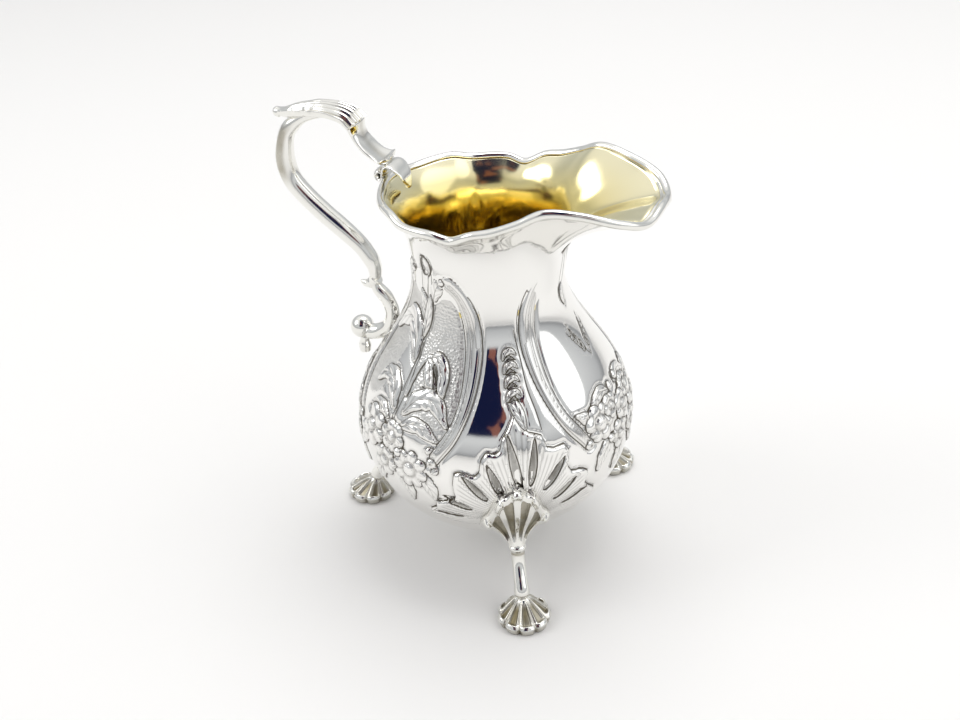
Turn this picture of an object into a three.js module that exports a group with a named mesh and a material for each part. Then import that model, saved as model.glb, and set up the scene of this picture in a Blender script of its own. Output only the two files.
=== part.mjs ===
// Silver cream jug on three shell feet: a raised vessel with a wavy mouth drawn out into a broad
// spout, a wire soldered round the mouth, a gilded inside and a cast scroll handle.
// Millimetres. +X is the way the spout points, -X is the handle's side, +Z is up. The jug stands on
// z = 0, and the middle of its plan is on the Z axis.

import * as THREE from 'three';
import { mergeVertices } from 'three/addons/utils/BufferGeometryUtils.js';

// ---------------------------------------------------------------- driving sizes

const solderGap = 0.3; // left between soldered pieces

const vessel = {
  bellyRadius: 34.3,
  bellyHeight: 36.5, // height of the widest ring
  bowlDepth: 29.5, // from the widest ring down to the underside
  neckRadius: 18.1,
  neckHeight: 78, // height of the narrowest ring
  shoulderPull: 17, // how long the wall stays upright above the belly and below the neck
  flarePull: 8, // how long it stays upright above the neck
  wall: 0.9,
};

const lining = { thickness: 0.35, gap: 0.42, bareRows: 0.25 }; // it stops a quarter of a row below the edge

const rim = {
  wireRadius: 0.85,
  wireGap: 0.5, // wider than the other gaps, because the mouth's corners are faceted
  handleReach: 24.4, // from the vessel's axis to the wire, beside the handle
  sideReach: 23.4, // at the dip in the middle of each side
  spoutReach: 42.6, // at the tip of the spout
  hornReach: 29.8, // at the horns on both sides of the spout
  handleRise: 19.2, // the wire's height above the neck, at the same places
  sideRise: 16.8,
  spoutRise: 20.6,
  hornRise: 24.6,
};

const leg = {
  count: 3,
  footThrow: 7.1, // from the knee out to the middle of a foot
  footRadius: 6.6,
  footHeight: 6,
  footEdge: 1.3, // thickness of the shell at its edge
  shankRadius: 1.7,
  kneeDrop: 19.8, // from the widest ring down to the joint of a knee shell and its shank
  kneeStandoff: 6.8, // from the bowl's wall out to the middle of that joint
  shellDrop: 5, // from the widest ring down to a knee shell's top
  shellWidth: 15.5,
  shellThickness: 1.3,
};

const handle = {
  scrollRadius: 2.45,
  outreach: 28.3, // from the mouth out to the middle line of the scroll's back
  archRise: 14.1, // from the mouth up to the middle line of the arch
  archSpan: 20.3, // from the back to the arch's end above the bracket
  leafThickness: 1.3,
  leafWidth: 8.2,
  knobRadius: 1.3,
  bracketRise: 11,
  strapThickness: 1.9,
  strapWidth: 5.6,
  tongueWidth: 5,
  footRise: 18.1, // from the widest ring up to the lower scroll's solder joint
  meetingReach: 3.9, // the two scrolls meet this far out from the solder joint
  meetingRise: 13.4, // and this far above it
  lowerRadius: 1.8,
  ballRadius: 2.7,
  ballReach: 8.9, // from the wall at the solder joint out to the middle of the ball
  dropLength: 4.6,
};

const facets = { round: 56, wire: 8, bar: 12, aroundMouth: 90 };

// ---------------------------------------------------------------- finishes

const silver = new THREE.MeshStandardMaterial({ color: 0xc9c9c6, roughness: 0.14, metalness: 1 });
const castSilver = new THREE.MeshStandardMaterial({ color: 0xbdbcb7, roughness: 0.22, metalness: 1 });
const gilding = new THREE.MeshStandardMaterial({ color: 0xd9ae4a, roughness: 0.2, metalness: 1 });

// ---------------------------------------------------------------- helpers

const jug = new THREE.Group();
const works = new THREE.Group();
jug.add(works);

/** Merges shared corners and drops the collapsed triangles at poles, which leaves one closed skin. */
function closed(geometry) {
  geometry.deleteAttribute('normal');
  geometry.deleteAttribute('uv');
  const merged = mergeVertices(geometry);
  const corners = merged.index.array;
  const kept = [];
  for (let i = 0; i < corners.length; i += 3) {
    const [a, b, c] = corners.slice(i, i + 3);
    if (a !== b && b !== c && c !== a) kept.push(a, b, c);
  }
  merged.setIndex(kept);
  merged.computeVertexNormals();
  return merged;
}

function add(name, geometry, material, parent = works) {
  const mesh = new THREE.Mesh(closed(geometry), material);
  mesh.name = name;
  parent.add(mesh);
}

/**
 * A turned blank with a given number of rows, each of whose rings is then put in its place.
 * place(row, angle) gives the point; the first and the last row are poles.
 */
function turned(rows, sides, place) {
  const profile = Array.from({ length: rows }, (_, row) => new THREE.Vector2(1, row));
  const blank = new THREE.LatheGeometry(profile, sides);
  const position = blank.attributes.position;
  for (let side = 0; side <= sides; side += 1) {
    const angle = (2 * Math.PI * (side % sides)) / sides;
    for (let row = 0; row < rows; row += 1) {
      const point = place(row, angle);
      position.setXYZ(side * rows + row, point.x, point.y, point.z);
    }
  }
  return blank;
}

/** The k-th value of a list of [share, ...values] rows, in between the rows at a share. */
function between(table, share, k) {
  const next = Math.max(1, table.findIndex(([end]) => end >= share));
  const [from, to] = [table[next - 1], table[next]];
  return THREE.MathUtils.mapLinear(share, from[0], to[0], from[k], to[k]);
}

/**
 * A bar bent along a curve in the plane y = 0, flat at both ends. Each row of widths is
 * [share of length, half thickness in the plane, half width across it].
 */
function bentBar(curve, widths, steps = 14) {
  const rows = steps + 3;
  return turned(rows, facets.bar, (row, angle) => {
    const share = THREE.MathUtils.clamp((row - 1) / steps, 0, 1);
    const size = row === 0 || row === rows - 1 ? 0 : 1;
    const along = curve.getTangent(share);
    const across = new THREE.Vector3(-along.z, 0, along.x);
    const side = new THREE.Vector3(0, -1, 0);
    return curve
      .getPoint(share)
      .addScaledVector(across, size * between(widths, share, 1) * Math.cos(angle))
      .addScaledVector(side, size * between(widths, share, 2) * Math.sin(angle));
  });
}

/** Rows of widths for a round bar, from [share, radius] pairs. */
function round(pairs) {
  return pairs.map(([share, radius]) => [share, radius, radius]);
}

/** A smooth curve in the plane y = 0 through [x, z] points. */
function planeCurve(points) {
  return new THREE.CatmullRomCurve3(points.map(([x, z]) => new THREE.Vector3(x, 0, z)));
}

// ---------------------------------------------------------------- the mouth

// Half of the mouth, from the spout round to the handle: [degrees, reach, rise above the neck].
const mouth = [
  [0, rim.spoutReach, rim.spoutRise],
  [11, rim.spoutReach - 0.4, rim.spoutRise - 1],
  [20, rim.spoutReach - 2.6, rim.spoutRise + 1],
  [30, rim.hornReach + 4.4, rim.hornRise - 0.7],
  [41, rim.hornReach, rim.hornRise],
  [52, rim.hornReach - 2.6, rim.hornRise - 2.4],
  [63, rim.sideReach + 2, rim.sideRise + 3.4],
  [74, rim.sideReach + 1, rim.sideRise + 2.3],
  [86, rim.sideReach - 0.6, rim.sideRise],
  [98, rim.sideReach - 0.2, rim.sideRise + 0.9],
  [120, rim.sideReach, rim.sideRise + 0.8],
  [133, rim.handleReach - 0.9, rim.handleRise - 0.5],
  [157, rim.handleReach - 0.3, rim.handleRise - 0.8],
  [180, rim.handleReach, rim.handleRise],
];

/** Reach and height of the rim wire's middle at an angle from the spout. */
function mouthAt(angle) {
  const turn = THREE.MathUtils.euclideanModulo(THREE.MathUtils.radToDeg(angle), 360);
  const degrees = turn > 180 ? 360 - turn : turn;
  const stations = [mirrored(1), ...mouth, mirrored(mouth.length - 2)];
  let next = 2;
  while (next < stations.length - 2 && stations[next][0] < degrees) next += 1;
  const [before, from, to, after] = stations.slice(next - 2, next + 2);
  const span = to[0] - from[0];
  const share = (degrees - from[0]) / span;
  const [reach, rise] = [1, 2].map((k) => {
    const startSlope = ((to[k] - before[k]) / (to[0] - before[0])) * span;
    const endSlope = ((after[k] - from[k]) / (after[0] - from[0])) * span;
    const s2 = share * share;
    const s3 = s2 * share;
    return (
      (2 * s3 - 3 * s2 + 1) * from[k] +
      (s3 - 2 * s2 + share) * startSlope +
      (3 * s2 - 2 * s3) * to[k] +
      (s3 - s2) * endSlope
    );
  });
  return [reach, vessel.neckHeight + rise];
}

/** The station on the other half of the mouth that continues the half list past its end. */
function mirrored(i) {
  const end = i === 1 ? 0 : 360;
  return [end - mouth[i][0], mouth[i][1], mouth[i][2]];
}

function rimPoint(angle) {
  const [reach, height] = mouthAt(angle);
  return new THREE.Vector3(reach * Math.cos(angle), reach * Math.sin(angle), height);
}

// ---------------------------------------------------------------- the vessel's wall

const bowlRows = 6;
const shoulderRows = 7;
const flareRows = 5;
const wallRows = bowlRows + shoulderRows + flareRows;

const shoulder = new THREE.CubicBezierCurve(
  new THREE.Vector2(vessel.bellyRadius, vessel.bellyHeight),
  new THREE.Vector2(vessel.bellyRadius, vessel.bellyHeight + vessel.shoulderPull),
  new THREE.Vector2(vessel.neckRadius, vessel.neckHeight - vessel.shoulderPull),
  new THREE.Vector2(vessel.neckRadius, vessel.neckHeight),
);

/** The neck's flare up to the edge under the rim wire, as radius and height. */
function flareAt(angle) {
  const [reach, height] = mouthAt(angle);
  const pull = new THREE.Vector2(
    reach - (reach - vessel.neckRadius) * 0.45,
    height - (height - vessel.neckHeight) * 0.16,
  );
  const edge = new THREE.Vector2(reach, height);
  const outward = edge.clone().sub(pull).normalize();
  edge.addScaledVector(outward, -rim.wireRadius - rim.wireGap);
  edge.add(new THREE.Vector2(outward.y, -outward.x).multiplyScalar(vessel.wall / 2));
  return new THREE.CubicBezierCurve(
    new THREE.Vector2(vessel.neckRadius, vessel.neckHeight),
    new THREE.Vector2(vessel.neckRadius, vessel.neckHeight + vessel.flarePull),
    pull,
    edge,
  );
}

/** Radius and height of the outside at a row, which may be a fraction, and its outward direction. */
function outside(row, angle) {
  if (row <= bowlRows) {
    const swing = (Math.PI / 2) * (1 - row / bowlRows);
    return {
      point: new THREE.Vector2(
        vessel.bellyRadius * Math.cos(swing),
        vessel.bellyHeight - vessel.bowlDepth * Math.sin(swing),
      ),
      outward: new THREE.Vector2(
        vessel.bowlDepth * Math.cos(swing),
        -vessel.bellyRadius * Math.sin(swing),
      ).normalize(),
    };
  }
  const onShoulder = row <= bowlRows + shoulderRows;
  const curve = onShoulder ? shoulder : flareAt(angle);
  const share = onShoulder ? (row - bowlRows) / shoulderRows : (row - bowlRows - shoulderRows) / flareRows;
  const along = curve.getTangent(share);
  return { point: curve.getPoint(share), outward: new THREE.Vector2(along.y, -along.x) };
}

/** A point of the wall, a given depth in from the outside. */
function wallPoint(row, angle, depth) {
  const { point, outward } = outside(row, angle);
  const radius = row === 0 ? 0 : point.x - outward.x * depth;
  return new THREE.Vector3(radius * Math.cos(angle), radius * Math.sin(angle), point.y - outward.y * depth);
}

/** A shell between two depths of the wall, up to a last row. */
function wallShell(outer, inner, lastRow) {
  const rows = 2 * (wallRows + 1);
  return turned(rows, facets.round, (row, angle) => {
    const onOutside = row <= wallRows;
    const step = onOutside ? row : rows - 1 - row;
    return wallPoint(Math.min(step, lastRow), angle, onOutside ? outer : inner);
  });
}

/** The outside's radius at a height on the bowl or the shoulder. */
function radiusAt(height) {
  if (height <= vessel.bellyHeight) {
    const drop = (vessel.bellyHeight - height) / vessel.bowlDepth;
    return vessel.bellyRadius * Math.sqrt(Math.max(0, 1 - drop * drop));
  }
  let low = 0;
  let high = 1;
  for (let i = 0; i < 40; i += 1) {
    const middle = (low + high) / 2;
    if (shoulder.getPoint(middle).y < height) low = middle;
    else high = middle;
  }
  return shoulder.getPoint(low).x;
}

add('body', wallShell(0, vessel.wall, wallRows), silver);

const liningDepth = vessel.wall + lining.gap;
const liningTop = wallRows - lining.bareRows;
add('gilt_lining', wallShell(liningDepth, liningDepth + lining.thickness, liningTop), gilding);

// ---------------------------------------------------------------- the rim wire

{
  const around = facets.aroundMouth;
  const ring = new THREE.TorusGeometry(1, rim.wireRadius, facets.wire, around);
  const position = ring.attributes.position;
  for (let side = 0; side <= facets.wire; side += 1) {
    const turn = (2 * Math.PI * (side % facets.wire)) / facets.wire;
    for (let step = 0; step <= around; step += 1) {
      const angle = (2 * Math.PI * (step % around)) / around;
      const ahead = rimPoint(angle + 0.01).sub(rimPoint(angle - 0.01)).normalize();
      const out = new THREE.Vector3(Math.cos(angle), Math.sin(angle), 0);
      out.addScaledVector(ahead, -out.dot(ahead)).normalize();
      const up = new THREE.Vector3().crossVectors(out, ahead);
      const point = rimPoint(angle)
        .addScaledVector(out, rim.wireRadius * Math.cos(turn))
        .addScaledVector(up, rim.wireRadius * Math.sin(turn));
      position.setXYZ(side * (around + 1) + step, point.x, point.y, point.z);
    }
  }
  add('rim_wire', ring, castSilver);
}

// ---------------------------------------------------------------- the handle

// The handle is set out from the rim wire at its top and from its solder joint on the bowl at its
// foot. Between them the main scroll's back follows the height from the joint up to the mouth.
const top = { x: -rim.handleReach, z: vessel.neckHeight + rim.handleRise };
const footHeight = vessel.bellyHeight + handle.footRise;
const foot = { x: -radiusAt(footHeight), z: footHeight };
const meeting = { x: foot.x - handle.meetingReach, z: foot.z + handle.meetingRise }; // the two scrolls'
const backX = top.x - handle.outreach;
const archZ = top.z + handle.archRise;

/** A point of the main scroll's back: shares of the way from the back in, and from the top down. */
function onBack(inward, down) {
  return [THREE.MathUtils.lerp(backX, meeting.x, inward), THREE.MathUtils.lerp(top.z, meeting.z, down)];
}

/** A point of the arch: a share of its span from the back towards the mouth, and a drop from its top. */
function onArch(share, drop) {
  return [backX + handle.archSpan * share, archZ - drop];
}

const archRadius = handle.scrollRadius * 0.6;
add(
  'handle_main_scroll',
  bentBar(
    planeCurve([
      [meeting.x, meeting.z + solderGap],
      onBack(1, 0.83),
      onBack(0.82, 0.62),
      onBack(0.35, 0.32),
      onBack(0.1, 0.15),
      onBack(0, -0.03),
      onBack(0.02, -0.2),
      onArch(0.08, 5.1),
      onArch(0.21, 2.6),
      onArch(0.38, 1.2),
      onArch(0.56, 0.3),
      onArch(0.73, 0),
      onArch(0.9, 0.9),
      onArch(1, 2.6),
    ]),
    round([
      [0, handle.scrollRadius * 0.55],
      [0.1, handle.scrollRadius * 0.85],
      [0.3, handle.scrollRadius],
      [0.55, handle.scrollRadius],
      [0.75, archRadius * 1.2],
      [1, archRadius],
    ]),
    30,
  ),
  castSilver,
);

// The leaf lies along the arch and lifts off its back end as a thumb knob.
const leafLift = archRadius * 1.2 + solderGap + handle.leafThickness / 2;
add(
  'handle_leaf_cap',
  bentBar(
    planeCurve([
      onArch(-0.08, 3.1 - leafLift),
      onArch(0.1, 2.7 - leafLift),
      onArch(0.32, 1.05 - leafLift),
      onArch(0.54, 0.3 - leafLift),
      onArch(0.75, -leafLift),
      onArch(0.97, 0.7 - leafLift),
      onArch(1.1, 2.8 - leafLift),
    ]),
    [
      [0, handle.knobRadius * 0.6, handle.knobRadius * 0.6],
      [0.06, handle.knobRadius, handle.knobRadius],
      [0.14, handle.leafThickness / 2, handle.knobRadius],
      [0.4, handle.leafThickness / 2, handle.leafWidth * 0.42],
      [1, handle.leafThickness / 2, handle.leafWidth / 2],
    ],
    18,
  ),
  castSilver,
);

add(
  'handle_bracket',
  bentBar(
    planeCurve([
      [onArch(1.02, 0)[0], archZ - 2.6 - solderGap - 0.3],
      [top.x - 6.4, top.z + handle.bracketRise * 0.72],
      [top.x - 4.2, top.z + handle.bracketRise * 0.5],
      [top.x - 1.8, top.z + handle.bracketRise * 0.4],
    ]),
    [
      [0, handle.strapThickness / 2, handle.strapWidth * 0.4],
      [1, handle.strapThickness / 2, handle.strapWidth / 2],
    ],
    10,
  ),
  castSilver,
);

// The tongue starts as a small roll outside the mouth, crosses over the wire and ends inside.
const overWire = rim.wireRadius + solderGap + handle.strapThickness / 2;
add(
  'handle_tongue',
  bentBar(
    planeCurve([
      [top.x - overWire - 0.4, top.z + 0.6],
      [top.x - 0.9, top.z + overWire],
      [top.x + 1.9, top.z + overWire + 0.3],
      [top.x + 3.9, top.z + 0.9],
      [top.x + 4.4, top.z - 1.9],
    ]),
    [
      [0, handle.strapThickness * 0.4, handle.tongueWidth * 0.45],
      [0.5, handle.strapThickness / 2, handle.tongueWidth / 2],
      [1, handle.strapThickness * 0.3, handle.tongueWidth * 0.2],
    ],
    12,
  ),
  castSilver,
);

/** X of the lower scroll's middle line where it just clears the wall at a height. */
function beside(height) {
  return -radiusAt(height) - handle.lowerRadius * 1.15 - solderGap;
}

const ball = { x: foot.x - handle.ballReach, z: foot.z };
add(
  'handle_lower_scroll',
  bentBar(
    planeCurve([
      [meeting.x + 0.1, meeting.z - 2 * solderGap],
      [meeting.x + 0.6, meeting.z - 1.4],
      [meeting.x + 2.7, meeting.z - 3.4],
      [meeting.x + 3.9, meeting.z - 7.2],
      [Math.min(meeting.x + 3.3, beside(foot.z + 2.6)), foot.z + 2.6],
      [foot.x - 2.7, foot.z + 0.6],
      [ball.x + handle.ballRadius + solderGap, ball.z],
    ]),
    round([
      [0, handle.lowerRadius * 0.6],
      [0.3, handle.lowerRadius * 0.95],
      [0.6, handle.lowerRadius],
      [0.85, handle.lowerRadius * 0.8],
      [1, handle.lowerRadius * 0.5],
    ]),
    18,
  ),
  castSilver,
);

const spurStart = meeting.x - handle.scrollRadius * 0.75 - 2 * solderGap;
add(
  'handle_spur',
  bentBar(
    planeCurve([
      [spurStart, meeting.z + 1.2],
      [spurStart - 0.3, meeting.z - 0.8],
      [spurStart - 1.5, meeting.z - 2.2],
    ]),
    round([
      [0, 0.5],
      [0.5, 0.8],
      [1, 0.3],
    ]),
    6,
  ),
  castSilver,
);

add('handle_ball', new THREE.SphereGeometry(handle.ballRadius, 20, 14).translate(ball.x, 0, ball.z), castSilver);

const dropTop = ball.z - handle.ballRadius - solderGap;
add(
  'handle_drop',
  bentBar(
    planeCurve([
      [ball.x + 0.2, dropTop],
      [ball.x, dropTop - handle.dropLength / 2],
      [ball.x - 0.2, dropTop - handle.dropLength],
    ]),
    round([
      [0, 0.55],
      [0.5, 1.1],
      [1, 0.4],
    ]),
    8,
  ),
  castSilver,
);

// ---------------------------------------------------------------- the legs

const hingeShift = leg.footRadius * 0.34; // from the middle of a foot in to its hinge, under the shank
const kneeHeight = vessel.bellyHeight - leg.kneeDrop;
const kneeReach = radiusAt(kneeHeight) + leg.kneeStandoff;
const shellTop = vessel.bellyHeight - leg.shellDrop;
const footCircle = kneeReach + leg.footThrow; // from the vessel's axis to the middle of a foot

/**
 * A knee shell: a plate bent to the bowl, narrow at the shank and fanned out above.
 * Its blank is a box whose width, length and thickness are mapped onto the bowl.
 */
function kneeShell() {
  const blank = new THREE.BoxGeometry(1, 1, 1, 8, 7, 1);
  const position = blank.attributes.position;
  for (let i = 0; i < position.count; i += 1) {
    const across = position.getX(i) * 2;
    const up = position.getY(i) + 0.5;
    const out = position.getZ(i) + 0.5;
    const spread = THREE.MathUtils.lerp(leg.shankRadius * 1.6, leg.shellWidth, Math.sin((up * Math.PI) / 2));
    const crown = (1 - across * across) * up * 2.2; // the fan's top edge bows upward
    const height = THREE.MathUtils.lerp(kneeHeight, shellTop - 2.2, up) + crown;
    const bowl = radiusAt(height) + solderGap;
    const foot = kneeReach - bowl;
    const lift = Math.max(0, foot) * (1 - up) ** 2; // stands off the bowl down to the shank
    const thickness = THREE.MathUtils.lerp(leg.shankRadius * 1.4, leg.shellThickness, Math.min(1, up * 1.6));
    const radius = bowl + lift * out + thickness * out * (1 - 0.45 * across * across);
    const angle = (across * spread) / 2 / bowl;
    position.setXYZ(i, radius * Math.cos(angle), radius * Math.sin(angle), height);
  }
  return blank;
}

/** The S-shaped shank, upright at both ends, between a knee shell and its foot. */
function shank() {
  const start = new THREE.Vector3(kneeReach, 0, kneeHeight - solderGap);
  const end = new THREE.Vector3(footCircle - hingeShift, 0, leg.footHeight + solderGap);
  const pull = new THREE.Vector3(0, 0, (start.z - end.z) * 0.55);
  const curve = new THREE.CubicBezierCurve3(start, start.clone().sub(pull), end.clone().add(pull), end);
  return bentBar(
    curve,
    round([
      [0, leg.shankRadius],
      [0.5, leg.shankRadius * 0.85],
      [1, leg.shankRadius],
    ]),
    9,
  );
}

/** A scallop-shell foot: flat underneath, fluted and scalloped, with its hinge under the shank. */
function footShell() {
  const flutes = 9;
  const levels = [0, 0, leg.footEdge / leg.footHeight, 0.5, 0.8, 1, 1]; // shares of the height
  const widths = [0, 0.94, 1, 0.86, 0.6, 0.3, 0];
  return turned(levels.length, 4 * flutes, (row, angle) => {
    const scallop = 1 - 0.045 * (1 - Math.cos(flutes * angle));
    const width = leg.footRadius * widths[row] * (row > 0 && row < 5 ? scallop : 1);
    const shift = -hingeShift * levels[row] ** 1.5;
    return new THREE.Vector3(
      footCircle + shift + width * Math.cos(angle),
      width * Math.sin(angle),
      levels[row] * leg.footHeight,
    );
  });
}

const places = ['front_left', 'back', 'front_right'];
places.forEach((place, i) => {
  const stand = new THREE.Group();
  stand.rotation.z = ((2 * i + 1) * Math.PI) / leg.count;
  works.add(stand);
  add(`knee_shell_${place}`, kneeShell(), castSilver, stand);
  add(`leg_shank_${place}`, shank(), castSilver, stand);
  add(`foot_shell_${place}`, footShell(), castSilver, stand);
});

// ---------------------------------------------------------------- placing

works.updateMatrixWorld(true);
const extent = new THREE.Box3().setFromObject(works);
works.position.x = -(extent.min.x + extent.max.x) / 2;

export default jug;
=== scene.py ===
"""Silver cream jug: the raised and chased vessel, its gilded inside, the cast handle and the cast legs.

Lengths are millimetres until they are written to a mesh, which is in metres. Angles round the vessel
are degrees from the spout, and heights are above the table.
"""

import math

import bmesh
import bpy
import numpy as np
from mathutils import Matrix, Vector


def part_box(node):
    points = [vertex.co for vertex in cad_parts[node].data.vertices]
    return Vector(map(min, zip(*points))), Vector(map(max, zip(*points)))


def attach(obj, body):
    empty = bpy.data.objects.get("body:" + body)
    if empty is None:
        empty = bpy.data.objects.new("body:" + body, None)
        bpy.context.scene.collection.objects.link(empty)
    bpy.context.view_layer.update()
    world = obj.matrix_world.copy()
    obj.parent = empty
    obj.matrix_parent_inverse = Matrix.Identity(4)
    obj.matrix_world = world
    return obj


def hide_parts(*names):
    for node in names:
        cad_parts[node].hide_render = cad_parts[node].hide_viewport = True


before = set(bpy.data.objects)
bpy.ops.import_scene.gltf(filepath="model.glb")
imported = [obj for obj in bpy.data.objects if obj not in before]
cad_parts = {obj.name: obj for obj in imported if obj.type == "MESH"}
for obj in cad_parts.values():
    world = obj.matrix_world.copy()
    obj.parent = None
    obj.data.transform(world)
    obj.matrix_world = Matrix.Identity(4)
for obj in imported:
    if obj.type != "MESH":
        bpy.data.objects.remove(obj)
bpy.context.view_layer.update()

MM = 0.001


def box_mm(node):
    low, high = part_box(node)
    return np.array(low) / MM, np.array(high) / MM


# ------------------------------------------------------------------ sizes

BODY_LOW, BODY_HIGH = box_mm("body")
BELLY = (BODY_HIGH[1] - BODY_LOW[1]) / 2
AXIS_X = BODY_LOW[0] + BELLY  # the vessel's axis
BASE = BODY_LOW[2]  # height of its underside
BOWL_DEPTH = 29.5
BELLY_Z = BASE + BOWL_DEPTH
NECK = 18.1
NECK_Z = 78.0
SHOULDER_PULL = 17.0
FLARE_PULL = 12.0
WALL = 0.9
WIRE = 1.0  # radius of the rim wire

# Half of the mouth from the spout round to the handle: angle, reach and height of the rim wire.
MOUTH = np.array([
    (0, 42.6, 98.6), (11, 42.2, 97.6), (20, 40.0, 99.6), (30, 34.2, 101.9), (41, 29.8, 102.6),
    (52, 27.2, 100.2), (63, 25.4, 98.2), (74, 24.4, 97.1), (86, 22.8, 94.8), (98, 23.2, 95.7),
    (120, 23.4, 95.6), (133, 23.5, 96.7), (157, 24.1, 96.4), (180, 24.4, 97.2),
])

LEGS = {"front_left": 60, "back": 180, "front_right": -60}
PANELS = (-120, 0, 120)


# ------------------------------------------------------------------ mesh helpers

def finish_mesh(bm, name):
    """The mesh as a smooth-shaded object at the origin."""
    mesh = bpy.data.meshes.new(name)
    bm.to_mesh(mesh)
    bm.free()
    mesh.shade_smooth()
    piece = bpy.data.objects.new(name, mesh)
    bpy.context.scene.collection.objects.link(piece)
    return piece


def spun_blank(rows, steps):
    """A closed turned blank of radius 1: row k lies at height k, and the first and last are poles."""
    bm = bmesh.new()
    line = [bm.verts.new((0 if k in (0, rows - 1) else 1, 0, k)) for k in range(rows)]
    edges = [bm.edges.new(pair) for pair in zip(line, line[1:])]
    bmesh.ops.spin(bm, geom=line + edges, cent=(0, 0, 0), axis=(0, 0, 1), angle=math.tau,
                   steps=steps, use_merge=True, use_duplicate=False)
    bmesh.ops.remove_doubles(bm, verts=bm.verts, dist=1e-4)
    bmesh.ops.recalc_face_normals(bm, faces=bm.faces)
    return bm


def ring_blank(sides, steps):
    """A closed ring of radius 10 whose section is a circle of radius 1."""
    bm = bmesh.new()
    made = bmesh.ops.create_circle(bm, segments=sides, radius=1)
    bmesh.ops.rotate(bm, verts=made["verts"], cent=(0, 0, 0), matrix=Matrix.Rotation(math.pi / 2, 3, "X"))
    bmesh.ops.translate(bm, verts=made["verts"], vec=(10, 0, 0))
    bmesh.ops.spin(bm, geom=made["verts"] + bm.edges[:], cent=(0, 0, 0), axis=(0, 0, 1), angle=math.tau,
                   steps=steps, use_merge=True, use_duplicate=False)
    bmesh.ops.remove_doubles(bm, verts=bm.verts, dist=1e-4)
    bmesh.ops.recalc_face_normals(bm, faces=bm.faces)
    return bm


def points_of(piece):
    flat = np.empty(len(piece.data.vertices) * 3)
    piece.data.vertices.foreach_get("co", flat)
    return flat.reshape(-1, 3)


def move_points(piece, points):
    """Puts the points, in millimetres, into the mesh."""
    piece.data.vertices.foreach_set("co", (np.asarray(points) * MM).ravel())
    piece.data.update()


def store(piece, name, values):
    """A number on each point of the mesh, for the materials."""
    layer = piece.data.attributes.new(name, "FLOAT", "POINT")
    layer.data.foreach_set("value", np.asarray(values, dtype=np.float32))


def smooth_path(points, count=60):
    """Points evenly spaced along a Catmull-Rom curve through a few points."""
    p = np.asarray(points, float)
    p = np.vstack([2 * p[0] - p[1], p, 2 * p[-1] - p[-2]])
    pieces = []
    for a, b, c, d in zip(p, p[1:], p[2:], p[3:]):
        t = np.linspace(0, 1, 16, endpoint=False)[:, None]
        pieces.append(0.5 * (2 * b + (c - a) * t + (2 * a - 5 * b + 4 * c - d) * t**2
                             + (3 * b - a - 3 * c + d) * t**3))
    dense = np.vstack(pieces + [p[-2:-1]])
    run = np.concatenate([[0], np.cumsum(np.linalg.norm(np.diff(dense, axis=0), axis=1))])
    even = np.linspace(0, run[-1], count)
    return np.stack([np.interp(even, run, dense[:, k]) for k in range(p.shape[1])], axis=1)


def smoothstep(x, low, high):
    t = np.clip((x - low) / (high - low), 0, 1)
    return t * t * (3 - 2 * t)


# ------------------------------------------------------------------ the vessel's outline

def mouth_at(degrees):
    """Reach and height of the rim wire's middle at angles from the spout, by a Hermite curve."""
    turn = np.mod(degrees, 360)
    turn = np.where(turn > 180, 360 - turn, turn)
    table = np.vstack([MOUTH[1] * (-1, 1, 1), MOUTH, MOUTH[-2] * (-1, 1, 1) + (360, 0, 0)])
    i = np.clip(np.searchsorted(table[:, 0], turn, side="right") - 1, 1, len(table) - 3)
    before, start, end, after = table[i - 1], table[i], table[i + 1], table[i + 2]
    span = end[..., :1] - start[..., :1]
    t = (turn[..., None] - start[..., :1]) / span
    slope0 = (end - before) / (end[..., :1] - before[..., :1]) * span
    slope1 = (after - start) / (after[..., :1] - start[..., :1]) * span
    value = ((2 * t**3 - 3 * t**2 + 1) * start + (t**3 - 2 * t**2 + t) * slope0
             + (3 * t**2 - 2 * t**3) * end + (t**3 - t**2) * slope1)
    return value[..., 1], value[..., 2]


def bezier(corners, t):
    """Points and unit tangents of cubic curves; corners is four (radius, height) pairs of arrays."""
    (a, b, c, d), s = corners, 1 - t
    point = [s**3 * a[k] + 3 * s * s * t * b[k] + 3 * s * t * t * c[k] + t**3 * d[k] for k in (0, 1)]
    slope = [s * s * (b[k] - a[k]) + 2 * s * t * (c[k] - b[k]) + t * t * (d[k] - c[k]) for k in (0, 1)]
    size = np.hypot(*slope)
    return point, (slope[0] / size, slope[1] / size)


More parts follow.
